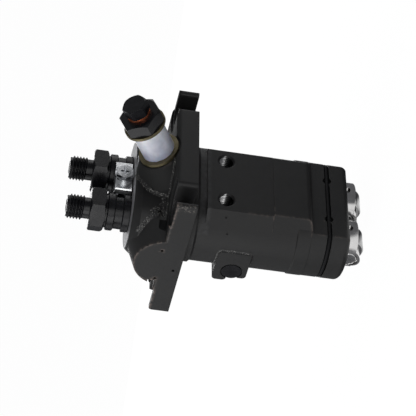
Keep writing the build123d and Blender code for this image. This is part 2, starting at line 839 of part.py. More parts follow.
def lock_screw():
    """Flanged hexagon screw with a cross recess that draws the two jaws together."""
    washer_face = -jaw_face - lock_washer_thickness
    head_shape = hexagon(lock_screw_hex, 0, lock_screw_head_height, holder_edge)
    head_shape += rod(lock_screw_flange_radius, 0, lock_screw_flange)
    slot = block(
        -lock_screw_hex / 4, lock_screw_hex / 4, -over / 2, over / 2,
        lock_screw_head_height - 2 * over, lock_screw_head_height + over,
    )
    head_shape -= slot
    head_shape -= Rot(0, 0, 90) * slot
    head_shape = Pos(0, washer_face, jaw_middle) * Rot(90, 0, 0) * head_shape
    return head_shape + front_rod(lock_screw_radius, washer_face, jaw_face, 0, jaw_middle)


def lock_screw_washer():
    """Spring washer under the lock screw's head, split on one side."""
    washer = ring(lock_washer_radius, lock_screw_radius + loose_gap, 0, lock_washer_thickness)
    rim, above = lock_washer_radius + over, lock_washer_thickness + over
    washer -= block(0, rim, -over / 4, over / 4, -over, above)
    return Pos(0, -jaw_face, jaw_middle) * Rot(90, 0, 0) * washer


def rack_tooth_space():
    """One space of the rack, a straight-sided trapezium cut from the toothed face."""
    alpha = radians(pressure_angle)
    half_space = (pi * tooth_module + tooth_backlash) / 4
    top = -tooth_addendum - over
    bottom = tooth_dedendum
    wide = half_space - top * tan(alpha)
    narrow = half_space - bottom * tan(alpha)
    corners = ((-wide, top), (wide, top), (narrow, bottom), (-narrow, bottom))
    space = extrude(make_face(Polyline(*corners, close=True)), 2 * rack_radius)
    return Pos(0, tooth_pitch_radius, rack_z - rack_radius) * space


def control_rack():
    """Round rack with teeth for both sleeves, a keyway behind and a tongue for the governor link."""
    rack = cross_rod(rack_radius, -rack_boss_face, rack_end, rack_y, rack_z)
    face = tooth_pitch_radius - tooth_addendum
    tip = tooth_pitch_radius + tooth_addendum
    clear = sqrt(tip ** 2 - (rack_y - rack_radius) ** 2) + loose_gap
    flat_low = -plunger_pitch / 2 - rack_travel - clear
    flat_high = plunger_pitch / 2 + clear
    z_low, z_high = rack_z - rack_radius - over, rack_z + rack_radius + over
    rack -= block(flat_low, flat_high, rack_y - rack_radius - over, face, z_low, z_high)
    pitch = pi * tooth_module
    contact = sqrt(tip ** 2 - face ** 2)
    before = int((rack_travel + contact) / pitch)
    after = int(contact / pitch)
    space = rack_tooth_space()
    for _, x in row:
        for number in range(-before, after + 1):
            rack -= Pos(x + number * pitch, 0, 0) * space
    half_key = rack_keyway_width / 2
    rack -= block(
        -rack_travel - half_key, half_key, rack_y + rack_radius - rack_keyway_depth,
        rack_y + rack_radius + over, rack_z - half_key, rack_z + half_key,
    )
    tongue_low = rack_end - rack_tongue_length
    for side in (1, -1):
        inner, outer = rack_z + side * rack_tongue / 2, rack_z + side * (rack_radius + over)
        rack -= block(
            tongue_low, rack_end + over, rack_y - rack_radius - over, rack_y + rack_radius + over,
            min(inner, outer), max(inner, outer),
        )
    hole = Pos(rack_end - link_pin_inset, rack_y, 0) * rod(link_pin_radius + press_gap, z_low, z_high)
    return rack - hole


def rack_link_pin():
    """Pin that the governor link hooks onto."""
    half = link_pin_length / 2
    pin = rod(link_pin_radius, rack_z - half, rack_z + half)
    pin = chamfer(pin.edges().filter_by(GeomType.CIRCLE), holder_edge)
    return Pos(rack_end - link_pin_inset, rack_y, 0) * pin


def rack_guide_screw():
    """Screw in the back of the body whose tip runs in the rack's keyway and limits its travel."""
    seat = guide_boss_face + guide_washer_thickness
    key_floor = rack_y + rack_radius - rack_keyway_depth + loose_gap
    shank_end = rack_y + rack_radius + loose_gap
    head_shape = hexagon(guide_screw_hex, 0, guide_head_height, holder_edge)
    screw = Pos(0, seat, rack_z) * Rot(-90, 0, 0) * head_shape
    screw += front_rod(guide_screw_radius, shank_end, seat, 0, rack_z)
    return screw + front_rod(guide_tip_radius, key_floor, shank_end, 0, rack_z)


def rack_guide_washer():
    """Soft washer that seals the guide screw."""
    washer = ring(guide_washer_radius, guide_screw_radius + loose_gap, 0, guide_washer_thickness)
    return Pos(0, guide_boss_face, rack_z) * Rot(-90, 0, 0) * washer


# Inlet pieces, built along Z with the origin on the plunger row and then tilted
lower_washer_top = inlet_seat + inlet_washer_thickness
sleeve_end = lower_washer_top + sleeve_length
head_seat = sleeve_end + inlet_washer_thickness
hollow_top = head_seat + hollow_hex_height


def inlet_hollow_bolt():
    """Hollow bolt with cross holes, which clamps the fuel pipe's banjo eye."""
    thread_end = inlet_seat - inlet_bore_depth + over
    thread_top = inlet_seat - over
    bolt = rod(inlet_thread_radius, thread_end, thread_top)
    bolt += rod(inlet_shank_radius, thread_top, head_seat)
    bolt += Rot(0, 0, hollow_hex_turn) * hexagon(hollow_hex, head_seat, hollow_top, holder_edge)
    bolt -= rod(hollow_bore_radius, thread_end - over, hollow_top)
    bolt -= rod(bleed_radius + press_gap, hollow_top - bleed_length, hollow_top + over)
    cross_height = (lower_washer_top + sleeve_end) / 2
    for angle in (0, 90):
        reach = inlet_shank_radius + over
        bolt -= Rot(0, 0, angle) * cross_rod(cross_hole_radius, -reach, reach, 0, cross_height)
    return tilted(bolt)


def inlet_washer(low):
    """Sealing washer on the inlet's axis."""
    hole = inlet_thread_radius + loose_gap
    return tilted(ring(inlet_washer_radius, hole, low, low + inlet_washer_thickness))


def inlet_sleeve():
    """Plastic spacer sleeve that stands where the pipe's eye will go."""
    return tilted(ring(sleeve_radius, inlet_thread_radius + loose_gap, lower_washer_top, sleeve_end))


def bleed_screw():
    """Screw in the top of the hollow bolt that lets air out."""
    seat = hollow_top + bleed_washer_thickness
    screw = rod(bleed_radius, hollow_top - bleed_length + over, seat)
    screw += Rot(0, 0, bleed_hex_turn) * hexagon(bleed_hex, seat, seat + bleed_head_height, holder_edge)
    return tilted(screw)


def bleed_washer():
    """Copper washer under the bleed screw's head."""
    hole = bleed_radius + loose_gap
    return tilted(ring(bleed_washer_radius, hole, hollow_top, hollow_top + bleed_washer_thickness))


# Every node and how it is made
on_each_axis = {
    "plunger_barrel": plunger_barrel,
    "delivery_valve_seat": delivery_valve_seat,
    "seat_gasket": seat_gasket,
    "delivery_valve": delivery_valve,
    "delivery_valve_spring": delivery_valve_spring,
    "delivery_valve_holder": delivery_valve_holder,
    "holder_seal": holder_seal,
    "control_sleeve": control_sleeve,
    "plunger": plunger,
    "upper_spring_seat": upper_spring_seat,
    "plunger_spring": plunger_spring,
    "lower_spring_seat": lower_spring_seat,
    "tappet_body": tappet_body,
    "tappet_roller": tappet_roller,
    "roller_bush": roller_bush,
    "roller_pin": roller_pin,
    "tappet_guide_pin": tappet_guide_pin,
}

nodes = {
    "pump_housing": pump_housing(),
    "retaining_ring": retaining_ring(),
    "lock_plate_front": lock_plate(-1),
    "lock_plate_rear": lock_plate(1),
    "lock_screw": lock_screw(),
    "lock_screw_washer": lock_screw_washer(),
    "control_rack": control_rack(),
    "rack_link_pin": rack_link_pin(),
    "rack_guide_screw": rack_guide_screw(),
    "rack_guide_washer": rack_guide_washer(),
    "inlet_hollow_bolt": inlet_hollow_bolt(),
    "inlet_washer_lower": inlet_washer(inlet_seat),
    "inlet_washer_upper": inlet_washer(sleeve_end),
    "inlet_sleeve": inlet_sleeve(),
    "bleed_screw": bleed_screw(),
    "bleed_washer": bleed_washer(),
}
for name, make in on_each_axis.items():
    shape = make()
    for number, x in row:
        nodes[f"{name}_{number}"] = Pos(x, 0, 0) * shape

os.makedirs("parts", exist_ok=True)
for name, shape in nodes.items():
    export_step(shape, f"parts/{name}.step")
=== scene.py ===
import json
import math

import bmesh
import bpy
from mathutils import Matrix, Vector, interpolate, noise
from mathutils.bvhtree import BVHTree


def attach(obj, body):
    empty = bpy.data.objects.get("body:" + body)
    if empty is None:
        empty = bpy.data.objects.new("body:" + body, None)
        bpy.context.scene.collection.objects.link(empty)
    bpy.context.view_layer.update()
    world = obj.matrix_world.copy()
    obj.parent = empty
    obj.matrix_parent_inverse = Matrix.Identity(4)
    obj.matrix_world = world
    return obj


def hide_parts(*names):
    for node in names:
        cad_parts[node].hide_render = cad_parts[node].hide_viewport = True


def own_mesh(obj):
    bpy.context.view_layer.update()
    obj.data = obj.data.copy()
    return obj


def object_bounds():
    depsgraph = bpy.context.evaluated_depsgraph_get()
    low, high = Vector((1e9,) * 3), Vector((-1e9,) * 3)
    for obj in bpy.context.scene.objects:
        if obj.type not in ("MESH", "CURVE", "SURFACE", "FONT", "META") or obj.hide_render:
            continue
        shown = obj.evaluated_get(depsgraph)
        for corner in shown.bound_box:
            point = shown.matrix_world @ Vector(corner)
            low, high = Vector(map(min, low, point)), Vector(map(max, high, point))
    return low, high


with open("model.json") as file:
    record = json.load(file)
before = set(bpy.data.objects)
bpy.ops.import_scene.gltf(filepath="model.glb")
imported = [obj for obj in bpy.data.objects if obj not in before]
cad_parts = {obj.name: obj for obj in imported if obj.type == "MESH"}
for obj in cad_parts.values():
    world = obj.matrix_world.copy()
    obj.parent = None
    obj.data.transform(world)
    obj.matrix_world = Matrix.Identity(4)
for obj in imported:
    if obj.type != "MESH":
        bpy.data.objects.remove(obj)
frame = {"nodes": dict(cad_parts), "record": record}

# Two-plunger diesel injection pump: finishes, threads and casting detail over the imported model.
# Metres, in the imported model's frame: Z towards the outlets, -Y the front with the fuel inlet.
cad_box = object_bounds()
nodes = frame["nodes"]
MM = 0.001

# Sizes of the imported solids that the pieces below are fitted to
plunger_x = (0.0125, -0.0125)
head_top = 26.8 * MM
flange_top = 10.7 * MM
bore_radius = 12.0 * MM
pad_face = 19.3 * MM
end_flat = 15.25 * MM
groove_z = -68.6 * MM
rack_boss_face = 31.2 * MM
rack_y = 10.9 * MM
rack_z = -25.7 * MM
plunger_spring_stroke = 8.0 * MM
valve_stroke = 2.5 * MM

# Threads: outlets and the two tapped holes in the front pad
thread_root = 5.15 * MM
thread_outer = 6.0 * MM
thread_pitch = 1.5 * MM
thread_low = 48.7 * MM
thread_high = 57.2 * MM
thread_chamfer = 0.8 * MM
thread_runout = 1.8 * thread_chamfer
thread_foot_share = 0.94
thread_crest_share = 0.16
thread_fade = 12.0
thread_tip = 0.02
thread_segments = 40
hole_z = -17.3 * MM
hole_radius = 3.4 * MM
hole_thread_radius = 3.95 * MM
hole_mouth_depth = 0.9 * MM
hole_thread_depth = 6.9 * MM
hole_thread_pitch = 1.25 * MM
hole_thread_end = 0.4 * MM
hole_thread_sink = 0.02 * MM
cutter_segments = 40

# Casting marks: burnt-on sand, pits, worn mouths and rough fillets
sand_path = [
    (-29.6, -7.2, 24.5), (-29.8, -9.7, 23.2), (-29.4, -10.8, 22.1), (-28.0, -12.6, 20.4),
    (-25.5, -15.2, 18.0), (-22.4, -17.4, 15.1), (-19.4, -18.8, 12.8), (-16.4, -19.7, 12.9),
    (-13.0, -20.5, 13.2),
]
sand_width = 1.3 * MM
sand_height = 0.7 * MM
sand_spacing = 0.4 * MM
sand_steps = 6
sand_ends = 8
sand_lumps = (0.55 * MM, 0.3 * MM)
sand_sink = 0.04 * MM
face_pits = ((-5.7, 11.0), (14.7, 10.9), (7.6, 3.3))
face_pit_radius = 0.75 * MM
face_pit_reach = 2.2 * MM
side_pits = [(-31.2, -17.5, 22.4), (-21.1, -19.1, 15.4)]
side_pit_radius = 0.45 * MM
side_pit_direction = (0.75, 0.66, 0)
pin_mouth_radius = 2.1 * MM
pin_mouth_depth = 1.3 * MM
rack_mouth_radius = 5.4 * MM
rack_mouth_depth = 0.8 * MM
lobe_fillet = 2.6 * MM
boss_fillet = 1.5 * MM
small_fillet = 0.9 * MM
deep_lumps = 0.3 * MM
slight_lumps = 0.05 * MM
fillet_lumps = (0.9 * MM, 0.4 * MM)
fillet_spacing = 0.5 * MM
fillet_sink = 0.03 * MM
fillet_arc = 7
inner_corner_angle = -0.13
lobe_root_x = -14 * MM
head_corner_x = 25 * MM
rack_corner_x = 19 * MM
rack_corner_y = 12 * MM
rack_corner_low = -34 * MM
rack_corner_high = -15 * MM

# Shading: angles in degrees that stay crisp, and how closely a reworked face matches its CAD face
holder_crease = 18
thread_crease = 30
fillet_crease = 60
same_face_distance = 0.02 * MM
same_face_facing = 0.9

# Bands of the casting that look different, as (low, high, fade) along an axis; some carry painted light or
# shade
# Lower side, boss rim and lobe rim: edges painted brown, partly wear and partly painted highlight
lower_side = {"X": (-24 * MM, -14 * MM, MM), "Z": (-90 * MM, -28 * MM, MM)}
ring_groove = {"Z": (-71 * MM, -66.4 * MM, 0.2 * MM)}
boss_rim = {"Y": (-60 * MM, -33 * MM, MM), "Z": (13 * MM, 30 * MM, MM)}
lobe_rim = {"X": (-60 * MM, -36 * MM, MM), "Z": (8 * MM, 26 * MM, MM)}
# Head side: painted shade, blended towards near black
head_side = {"Z": (9.5 * MM, 25.5 * MM, 1.5 * MM), "X": (-22 * MM, 60 * MM, 3 * MM)}
# Neck: painted light, a lighter band where the fillet catches light
neck = {"Z": (-9 * MM, -5 * MM, 1.5 * MM), "Y": (-60 * MM, -10 * MM, MM)}
prong_end = {
    "Y": (-60 * MM, -35 * MM, MM), "Z": (1.5 * MM, 9 * MM, MM), "X": (-60 * MM, -37 * MM, 0.5 * MM),
}
head_face = {"Z": (head_top - 0.1 * MM, head_top + MM, 0.05 * MM)}
# Tapped thread's side towards +Z: painted highlight
thread_highlight_band = {"Z": (hole_z + 0.6 * MM, hole_z + 8 * MM, 0.8 * MM)}

# Studio: floor, the white that polished metal mirrors, and the lamps' common aim
floor_z = -90.2 * MM
floor_half = 60.0
floor_glow = 1.04
floor_glow_share = 0.93
strip_ahead = (-0.676, -0.737, 0.0)
strip_aside = (-0.737, 0.676, 0.0)
strip_slant = 0.12
strip_offset = 9.2 * MM
strip_widening = 0.28
strip_half_width = 6 * MM
strip_start = -10 * MM
spot_radius = 42 * MM
spot_edge = 50 * MM
lamp_aim = (0, 0, -0.02)
photo_pixels = 416
focal_pixels = 1685.34
sensor_width = 36.0

# Colours of worn iron, and of the light and shade painted on it
# Brown of worn edges, which also stands for painted edge highlights
worn_and_highlight_brown = (0.17, 0.135, 0.118)
chipped_brown = (0.12, 0.11, 0.1)
# Painted light: the lighter grey of the neck's lit fillet
painted_light_grey = (0.036, 0.036, 0.037)
# Painted shade on the head's side
shaded_black = (0.004, 0.004, 0.004)
turned_iron = (0.42, 0.42, 0.43)
sand_sparkle = (0.2, 0.195, 0.185)


# Finishes
class Finish:
    """A node material on Object coordinates, wired step by step."""

    def __init__(self, name, roughness=0.5, metallic=0.0, **sockets):
        self.material = bpy.data.materials.new(name)
        self.material.use_nodes = True
        self.tree = self.material.node_tree
        self.shader = self.tree.nodes["Principled BSDF"]
        self.shader.inputs["Roughness"].default_value = roughness
        self.shader.inputs["Metallic"].default_value = metallic
        for socket, value in sockets.items():
            self.shader.inputs[socket.replace("_", " ")].default_value = value
        self.place = self.tree.nodes.new("ShaderNodeTexCoord").outputs["Object"]

    def node(self, kind, **settings):
        made = self.tree.nodes.new("ShaderNode" + kind)
        for name, value in settings.items():
            setattr(made, name, value)
        return made

    def wire(self, source, target):
        self.tree.links.new(source, target)

    def feed(self, source, target):
        """Gives a socket either a link or a plain value."""
        if isinstance(source, bpy.types.NodeSocket):
            self.wire(source, target)
        else:
            target.default_value = source

    def noise(self, size, detail=4.0, roughness=0.55, stretch=(1.0, 1.0, 1.0)):
        """Noise from 0 to 1 with lumps of about the given size in metres."""
        mapping = self.node("Mapping")
        mapping.inputs["Scale"].default_value = [1.0 / (size * s) for s in stretch]
        texture = self.node("TexNoise")
        texture.inputs["Scale"].default_value = 1.0
        texture.inputs["Detail"].default_value = detail
        texture.inputs["Roughness"].default_value = roughness
        self.wire(self.place, mapping.inputs["Vector"])
        self.wire(mapping.outputs["Vector"], texture.inputs["Vector"])
        return texture.outputs["Fac"]

    def ramp(self, factor, *stops):
        """Colour or grey by stops of (place, value)."""
        made = self.node("ValToRGB")
        ramp = made.color_ramp
        while len(ramp.elements) < len(stops):
            ramp.elements.new(0.5)
        for element, (at, value) in zip(ramp.elements, stops):
            element.position = at
            colour = (value, value, value) if isinstance(value, float) else value
            element.color = (*colour, 1.0)
        self.wire(factor, made.inputs["Fac"])
        return made.outputs["Color"]

    def blend(self, factor, first, second):
        """Mix of two colours."""
        mix = self.node("Mix", data_type="RGBA")
        self.feed(factor, mix.inputs["Factor"])
        for value, socket in ((first, mix.inputs[6]), (second, mix.inputs[7])):
            if isinstance(value, tuple):
                value = (*value, 1.0)
            self.feed(value, socket)
        return mix.outputs[2]

    def maths(self, operation, first, second=0.0, clamp=False):
        made = self.node("Math", operation=operation, use_clamp=clamp)
        self.feed(first, made.inputs[0])
        self.feed(second, made.inputs[1])
        return made.outputs[0]

    def nearby(self, inside, distance, *stops):
        """Ramp of how free the surface is: of solid outside it, or inside it, where edges count as full."""
        check = self.node("AmbientOcclusion", inside=inside, only_local=True, samples=8)
        check.inputs["Distance"].default_value = distance
        return self.ramp(check.outputs["AO"], *stops)

    def within(self, axis, low, high, fade):
        """1 where the object's coordinate lies between two values, fading over a width."""
        split = self.node("SeparateXYZ")
        self.wire(self.place, split.inputs[0])
        value = split.outputs[axis]
        rise = self.maths("DIVIDE", self.maths("SUBTRACT", value, low - fade), fade, clamp=True)
        fall = self.maths("DIVIDE", self.maths("SUBTRACT", high + fade, value), fade, clamp=True)
        return self.maths("MULTIPLY", rise, fall)

    def along(self, direction):
        """How far the surface lies along a direction from the origin."""
        dot = self.node("VectorMath", operation="DOT_PRODUCT")
        self.wire(self.place, dot.inputs[0])
        dot.inputs[1].default_value = direction
        return dot.outputs["Value"]

    def zone(self, bands):
        """1 where every named band holds, 0 elsewhere."""
        share = None
        for axis, band in bands.items():
            inside = self.within(axis, *band)
            share = inside if share is None else self.maths("MULTIPLY", share, inside)
        return share

    def darken(self, colour, share):
        """A colour multiplied by a share or by another colour."""
        mix = self.node("Mix", data_type="RGBA", blend_type="MULTIPLY")
        mix.inputs["Factor"].default_value = 1.0
        self.wire(colour, mix.inputs[6])
        self.wire(share, mix.inputs[7])
        return mix.outputs[2]

    def bump(self, height, strength, distance, radius=0.0):
        """Raises the surface by a height from 0 to 1; a radius rounds the edges first."""
        made = self.node("Bump")
        made.inputs["Strength"].default_value = strength
        made.inputs["Distance"].default_value = distance
        self.wire(height, made.inputs["Height"])
        if radius:
            bevel = self.node("Bevel", samples=6)
            bevel.inputs["Radius"].default_value = radius
            self.wire(bevel.outputs["Normal"], made.inputs["Normal"])
        return made.outputs["Normal"]

    def colour(self, value):
        self.feed(value, self.shader.inputs["Base Color"])

    def rough(self, value):
        self.wire(value, self.shader.inputs["Roughness"])

    def normal(self, value):
        self.wire(value, self.shader.inputs["Normal"])
        return self.material


def worn_and_highlight_zone(finish):
    """1 where hands and tools reach the edges and where edges catch light: lower side, lobe and the inlet
    boss's rim; their brown is partly wear, partly painted highlight.
    """
    lower = finish.maths("SUBTRACT", finish.zone(lower_side), finish.zone(ring_groove), clamp=True)
    rim = finish.maths("MULTIPLY", finish.zone(boss_rim), 0.8)
    return finish.maths("MAXIMUM", lower, finish.maths("MAXIMUM", rim, finish.zone(lobe_rim)))


def cast_iron(name, dark, light, speckle, relief, shine=0.5):
    """Black phosphated casting: clouds, sand grain, painted shade in corners and on the head's side, a
    painted lighter band on the neck, rubbed edges that are partly painted highlight, and chips.
    """
    finish = Finish(name, Specular_IOR_Level=shine)
    cloud = finish.noise(14 * MM, detail=4.0)
    grain = finish.noise(0.45 * MM, detail=5.0, roughness=0.65)
    tone = finish.ramp(cloud, (0.3, dark), (0.7, light))
    tone = finish.darken(tone, finish.ramp(grain, (0.35, 1.0 - speckle), (0.68, 1.0 + speckle)))
    # Painted shade: darker wherever other solid lies within 10 mm, in corners and crevices.
    tone = finish.darken(tone, finish.nearby(False, 10 * MM, (0.3, 0.2), (0.85, 1.0)))
    # Painted shade: the head's side between flange and top face is blended towards near black.
    recess = finish.zone(head_side)
    tone = finish.blend(finish.maths("MULTIPLY", recess, 0.6), tone, shaded_black)
    # Painted light: a mottled lighter grey on the neck, where its fillet catches light.
    painted_neck_light = finish.ramp(finish.noise(2.2 * MM, detail=3.0), (0.35, 0.2), (0.65, 0.9))
    tone = finish.blend(finish.maths("MULTIPLY", finish.zone(neck), painted_neck_light), tone, painted_light_grey)
    # Rubbed edges in brown, partly wear and partly painted highlight.
    patchy = finish.ramp(finish.noise(1.8 * MM, detail=4.0), (0.4, 0.05), (0.6, 1.0))
    sharp = finish.nearby(True, 1.5 * MM, (0.6, 1.0), (0.94, 0.0))
    edge = finish.maths("MULTIPLY", sharp, worn_and_highlight_zone(finish))
    tone = finish.blend(finish.maths("MULTIPLY", edge, patchy), tone, worn_and_highlight_brown)
    chips = finish.ramp(finish.noise(0.8 * MM, detail=3.0), (0.5, 0.0), (0.6, 0.9))
    tone = finish.blend(finish.maths("MULTIPLY", finish.zone(prong_end), chips), tone, chipped_brown)
    even = finish.ramp(cloud, (0.2, 0.46), (0.8, 0.56))
    finish.rough(finish.maths("ADD", even, finish.maths("MULTIPLY", recess, 0.25)))
    height = finish.maths("ADD", finish.maths("MULTIPLY", grain, 0.5), finish.noise(2.6 * MM, detail=3.0))
    return finish, tone, finish.bump(height, 0.5, relief, radius=0.3 * MM)


def housing_finish():
    """The casting's black, with the machined top face of the head left bright."""
    finish, tone, normal = cast_iron(
        "phosphated_casting", dark=(0.0125, 0.0125, 0.0125), light=(0.0155, 0.0152, 0.0152),
        speckle=0.12, relief=0.1 * MM, shine=0.35,
    )
    bright = finish.zone(head_face)
    finish.colour(finish.blend(bright, tone, turned_iron))
    finish.wire(bright, finish.shader.inputs["Metallic"])
    return finish.normal(normal)


def crease_finish():
    """The same casting where sand burnt on in the corners: coarse and specked with light."""
    finish, tone, normal = cast_iron(
        "burnt_on_sand", dark=(0.011, 0.011, 0.011), light=(0.02, 0.02, 0.02),
        speckle=0.6, relief=0.4 * MM,
    )
    sparkle = finish.ramp(finish.noise(0.55 * MM, detail=2.0), (0.56, 0.0), (0.66, 1.0))
    finish.colour(finish.blend(sparkle, tone, sand_sparkle))
    return finish.normal(normal)


def cut_metal(name, dark, light, rough, edge=0.12 * MM, metallic=1.0, shine=0.5):
    """Machined or plated steel with fine tool lines and slightly uneven shine."""
    finish = Finish(name, metallic=metallic, Specular_IOR_Level=shine)
    cloud = finish.noise(4 * MM, detail=4.0)
    lines = finish.noise(0.25 * MM, detail=3.0, stretch=(1.0, 1.0, 12.0))
    finish.colour(finish.ramp(cloud, (0.3, dark), (0.7, light)))
    finish.rough(finish.ramp(cloud, (0.25, rough[0]), (0.75, rough[1])))
    return finish.normal(finish.bump(lines, 0.25, 0.02 * MM, radius=edge))


def tapped_steel():
    """Thread of a tapped hole: painted highlight, mottled, on the side towards +Z, and painted shade near
    black beyond.
    """
    finish = Finish("tapped_steel", metallic=1.0)
    mottled = finish.ramp(finish.noise(1.5 * MM, detail=3.0), (0.35, 0.4), (0.6, 1.0))
    # Painted highlight on the +Z side of the thread; the near black elsewhere is painted shade.
    bright = finish.maths("MULTIPLY", finish.zone(thread_highlight_band), mottled)
    finish.colour(finish.blend(bright, (0.02, 0.02, 0.02), (0.75, 0.75, 0.75)))
    finish.rough(finish.ramp(mottled, (0.3, 0.3), (1.0, 0.2)))
    return finish.normal(finish.bump(finish.noise(0.3 * MM), 0.2, 0.02 * MM))


def milky_plastic():
    """Clear-milky nylon with a moulded skin, its light and shade painted from a bluish shadow to white
    along its axis.
    """
    finish = Finish(
        "milky_plastic", roughness=0.35, Subsurface_Weight=0.15, Subsurface_Scale=2 * MM,
        Coat_Weight=0.2,
    )
    height = finish.along((0.3, -0.859 * 0.95, 0.512 * 0.95))
    rise = finish.maths("DIVIDE", finish.maths("SUBTRACT", height, 36 * MM), 18 * MM)
    cloud = finish.maths("MULTIPLY", finish.maths("SUBTRACT", finish.noise(6 * MM, detail=2.0), 0.5), 0.8)
    # Painted light and shade: the colour runs from a bluish shadow to lit white along the sleeve's axis,
    # clouded by noise.
    shadow, middle, lit = (0.34, 0.36, 0.45), (0.6, 0.62, 0.7), (0.88, 0.88, 0.92)
    depth = finish.maths("ADD", rise, cloud, clamp=True)
    finish.colour(finish.ramp(depth, (0.0, shadow), (0.4, middle), (0.8, lit)))
    return finish.normal(finish.bump(finish.noise(0.8 * MM), 0.08, 0.05 * MM, radius=0.3 * MM))


def black_seal():
    """Moulded black rubber with a faint bloom."""
    finish = Finish("black_seal", roughness=0.75)
    cloud = finish.noise(1.5 * MM)
    finish.colour(finish.ramp(cloud, (0.3, (0.012, 0.012, 0.012)), (0.7, (0.03, 0.03, 0.03))))
    return finish.normal(finish.bump(cloud, 0.2, 0.05 * MM))


casting = housing_finish()
burnt_sand = crease_finish()
tapped = tapped_steel()
blackened = cut_metal(
    "blackened_steel", (0.005, 0.005, 0.006), (0.01, 0.01, 0.012), rough=(0.2, 0.34),
    edge=0.16 * MM, metallic=0.0, shine=0.24,
)
dark_wire = cut_metal(
    "blackened_wire", (0.008, 0.008, 0.009), (0.014, 0.014, 0.015), rough=(0.5, 0.7),
    metallic=0.0, shine=0.1,
)
screw_zinc = cut_metal(
    "screw_zinc", (0.36, 0.37, 0.38), (0.52, 0.53, 0.55), rough=(0.08, 0.18), edge=0.35 * MM,
)
spring = cut_metal("spring_steel", (0.06, 0.06, 0.065), (0.11, 0.11, 0.12), rough=(0.3, 0.45))
finishes = {
    "cast_housing": casting,
    "black_oxide_steel": blackened,
    "zinc_plate": cut_metal(
        "bright_zinc", (0.62, 0.63, 0.64), (0.75, 0.76, 0.77), rough=(0.22, 0.36),
    ),
    "machined_steel": cut_metal(
        "machined_steel", (0.56, 0.555, 0.55), (0.64, 0.635, 0.63), rough=(0.12, 0.2), edge=0.0,
    ),
    "ground_steel": cut_metal(
        "ground_steel", (0.36, 0.36, 0.36), (0.44, 0.44, 0.44), rough=(0.2, 0.3), edge=0.0,
    ),
    "spring_steel": spring,
    "brass_washer": cut_metal(
        "dull_brass", (0.14, 0.12, 0.065), (0.24, 0.21, 0.13), rough=(0.4, 0.6),
    ),
    "copper_washer": cut_metal(
        "dull_copper", (0.75, 0.2, 0.09), (0.85, 0.28, 0.13), rough=(0.3, 0.45),
    ),
    "translucent_plastic": milky_plastic(),
    "black_rubber": black_seal(),
}
own_finish = {"retaining_ring": dark_wire, "lock_screw": screw_zinc}

slot_of = {part["node"]: part["material_slot"] for part in frame["record"]["subparts"]}
for name in ("control_rack", "retaining_ring"):
    slot_of[name] = "black_oxide_steel"
for name, obj in nodes.items():
    obj.data.materials.clear()
    obj.data.materials.append(own_finish.get(name, finishes[slot_of[name]]))


# Pieces
def add_piece(name, mesh, material, body):
    """Links a finished mesh and lets it ride on a body."""
    obj = bpy.data.objects.new(name, mesh)
    bpy.context.scene.collection.objects.link(obj)
    mesh.materials.clear()
    mesh.materials.append(material)
    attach(obj, body)
    return obj


def copy_of(node):
    """A CAD node's mesh with its doubles merged, ready to be reworked."""
    mesh = nodes[node].data.copy()
    work = bmesh.new()
    work.from_mesh(mesh)
    bmesh.ops.remove_doubles(work, verts=work.verts, dist=0.001 * MM)
    work.to_mesh(mesh)
    work.free()
    return mesh


def keep_shading(mesh, source):
    """Gives a reworked mesh the exact smooth normals of the CAD mesh that it was made from."""
    places = [vertex.co.copy() for vertex in source.vertices]
    tree = BVHTree.FromPolygons(places, [tuple(face.vertices) for face in source.polygons])
    mesh.shade_smooth()
    normals = []
    for face in mesh.polygons:
        _, facing, index, distance = tree.find_nearest(face.center)
        kept = distance < same_face_distance and facing.dot(face.normal) > same_face_facing
        corners = [places[number] for number in source.polygons[index].vertices]
        loops = source.polygons[index].loop_indices
        for number in face.vertices:
            normal = face.normal.copy()
            if kept:
                shares = interpolate.poly_3d_calc(corners, mesh.vertices[number].co)
                known = [source.corner_normals[loop].vector for loop in loops]
                normal = sum((vector * share for vector, share in zip(known, shares)), Vector())
            normals.append(normal.normalized())
    mesh.normals_split_custom_set(normals)


def shade_by_angle(mesh, degrees):
    """Smooth faces that stay crisp where they meet at more than an angle."""
    mesh.shade_smooth()
    mesh.set_sharp_from_angle(angle=math.radians(degrees))


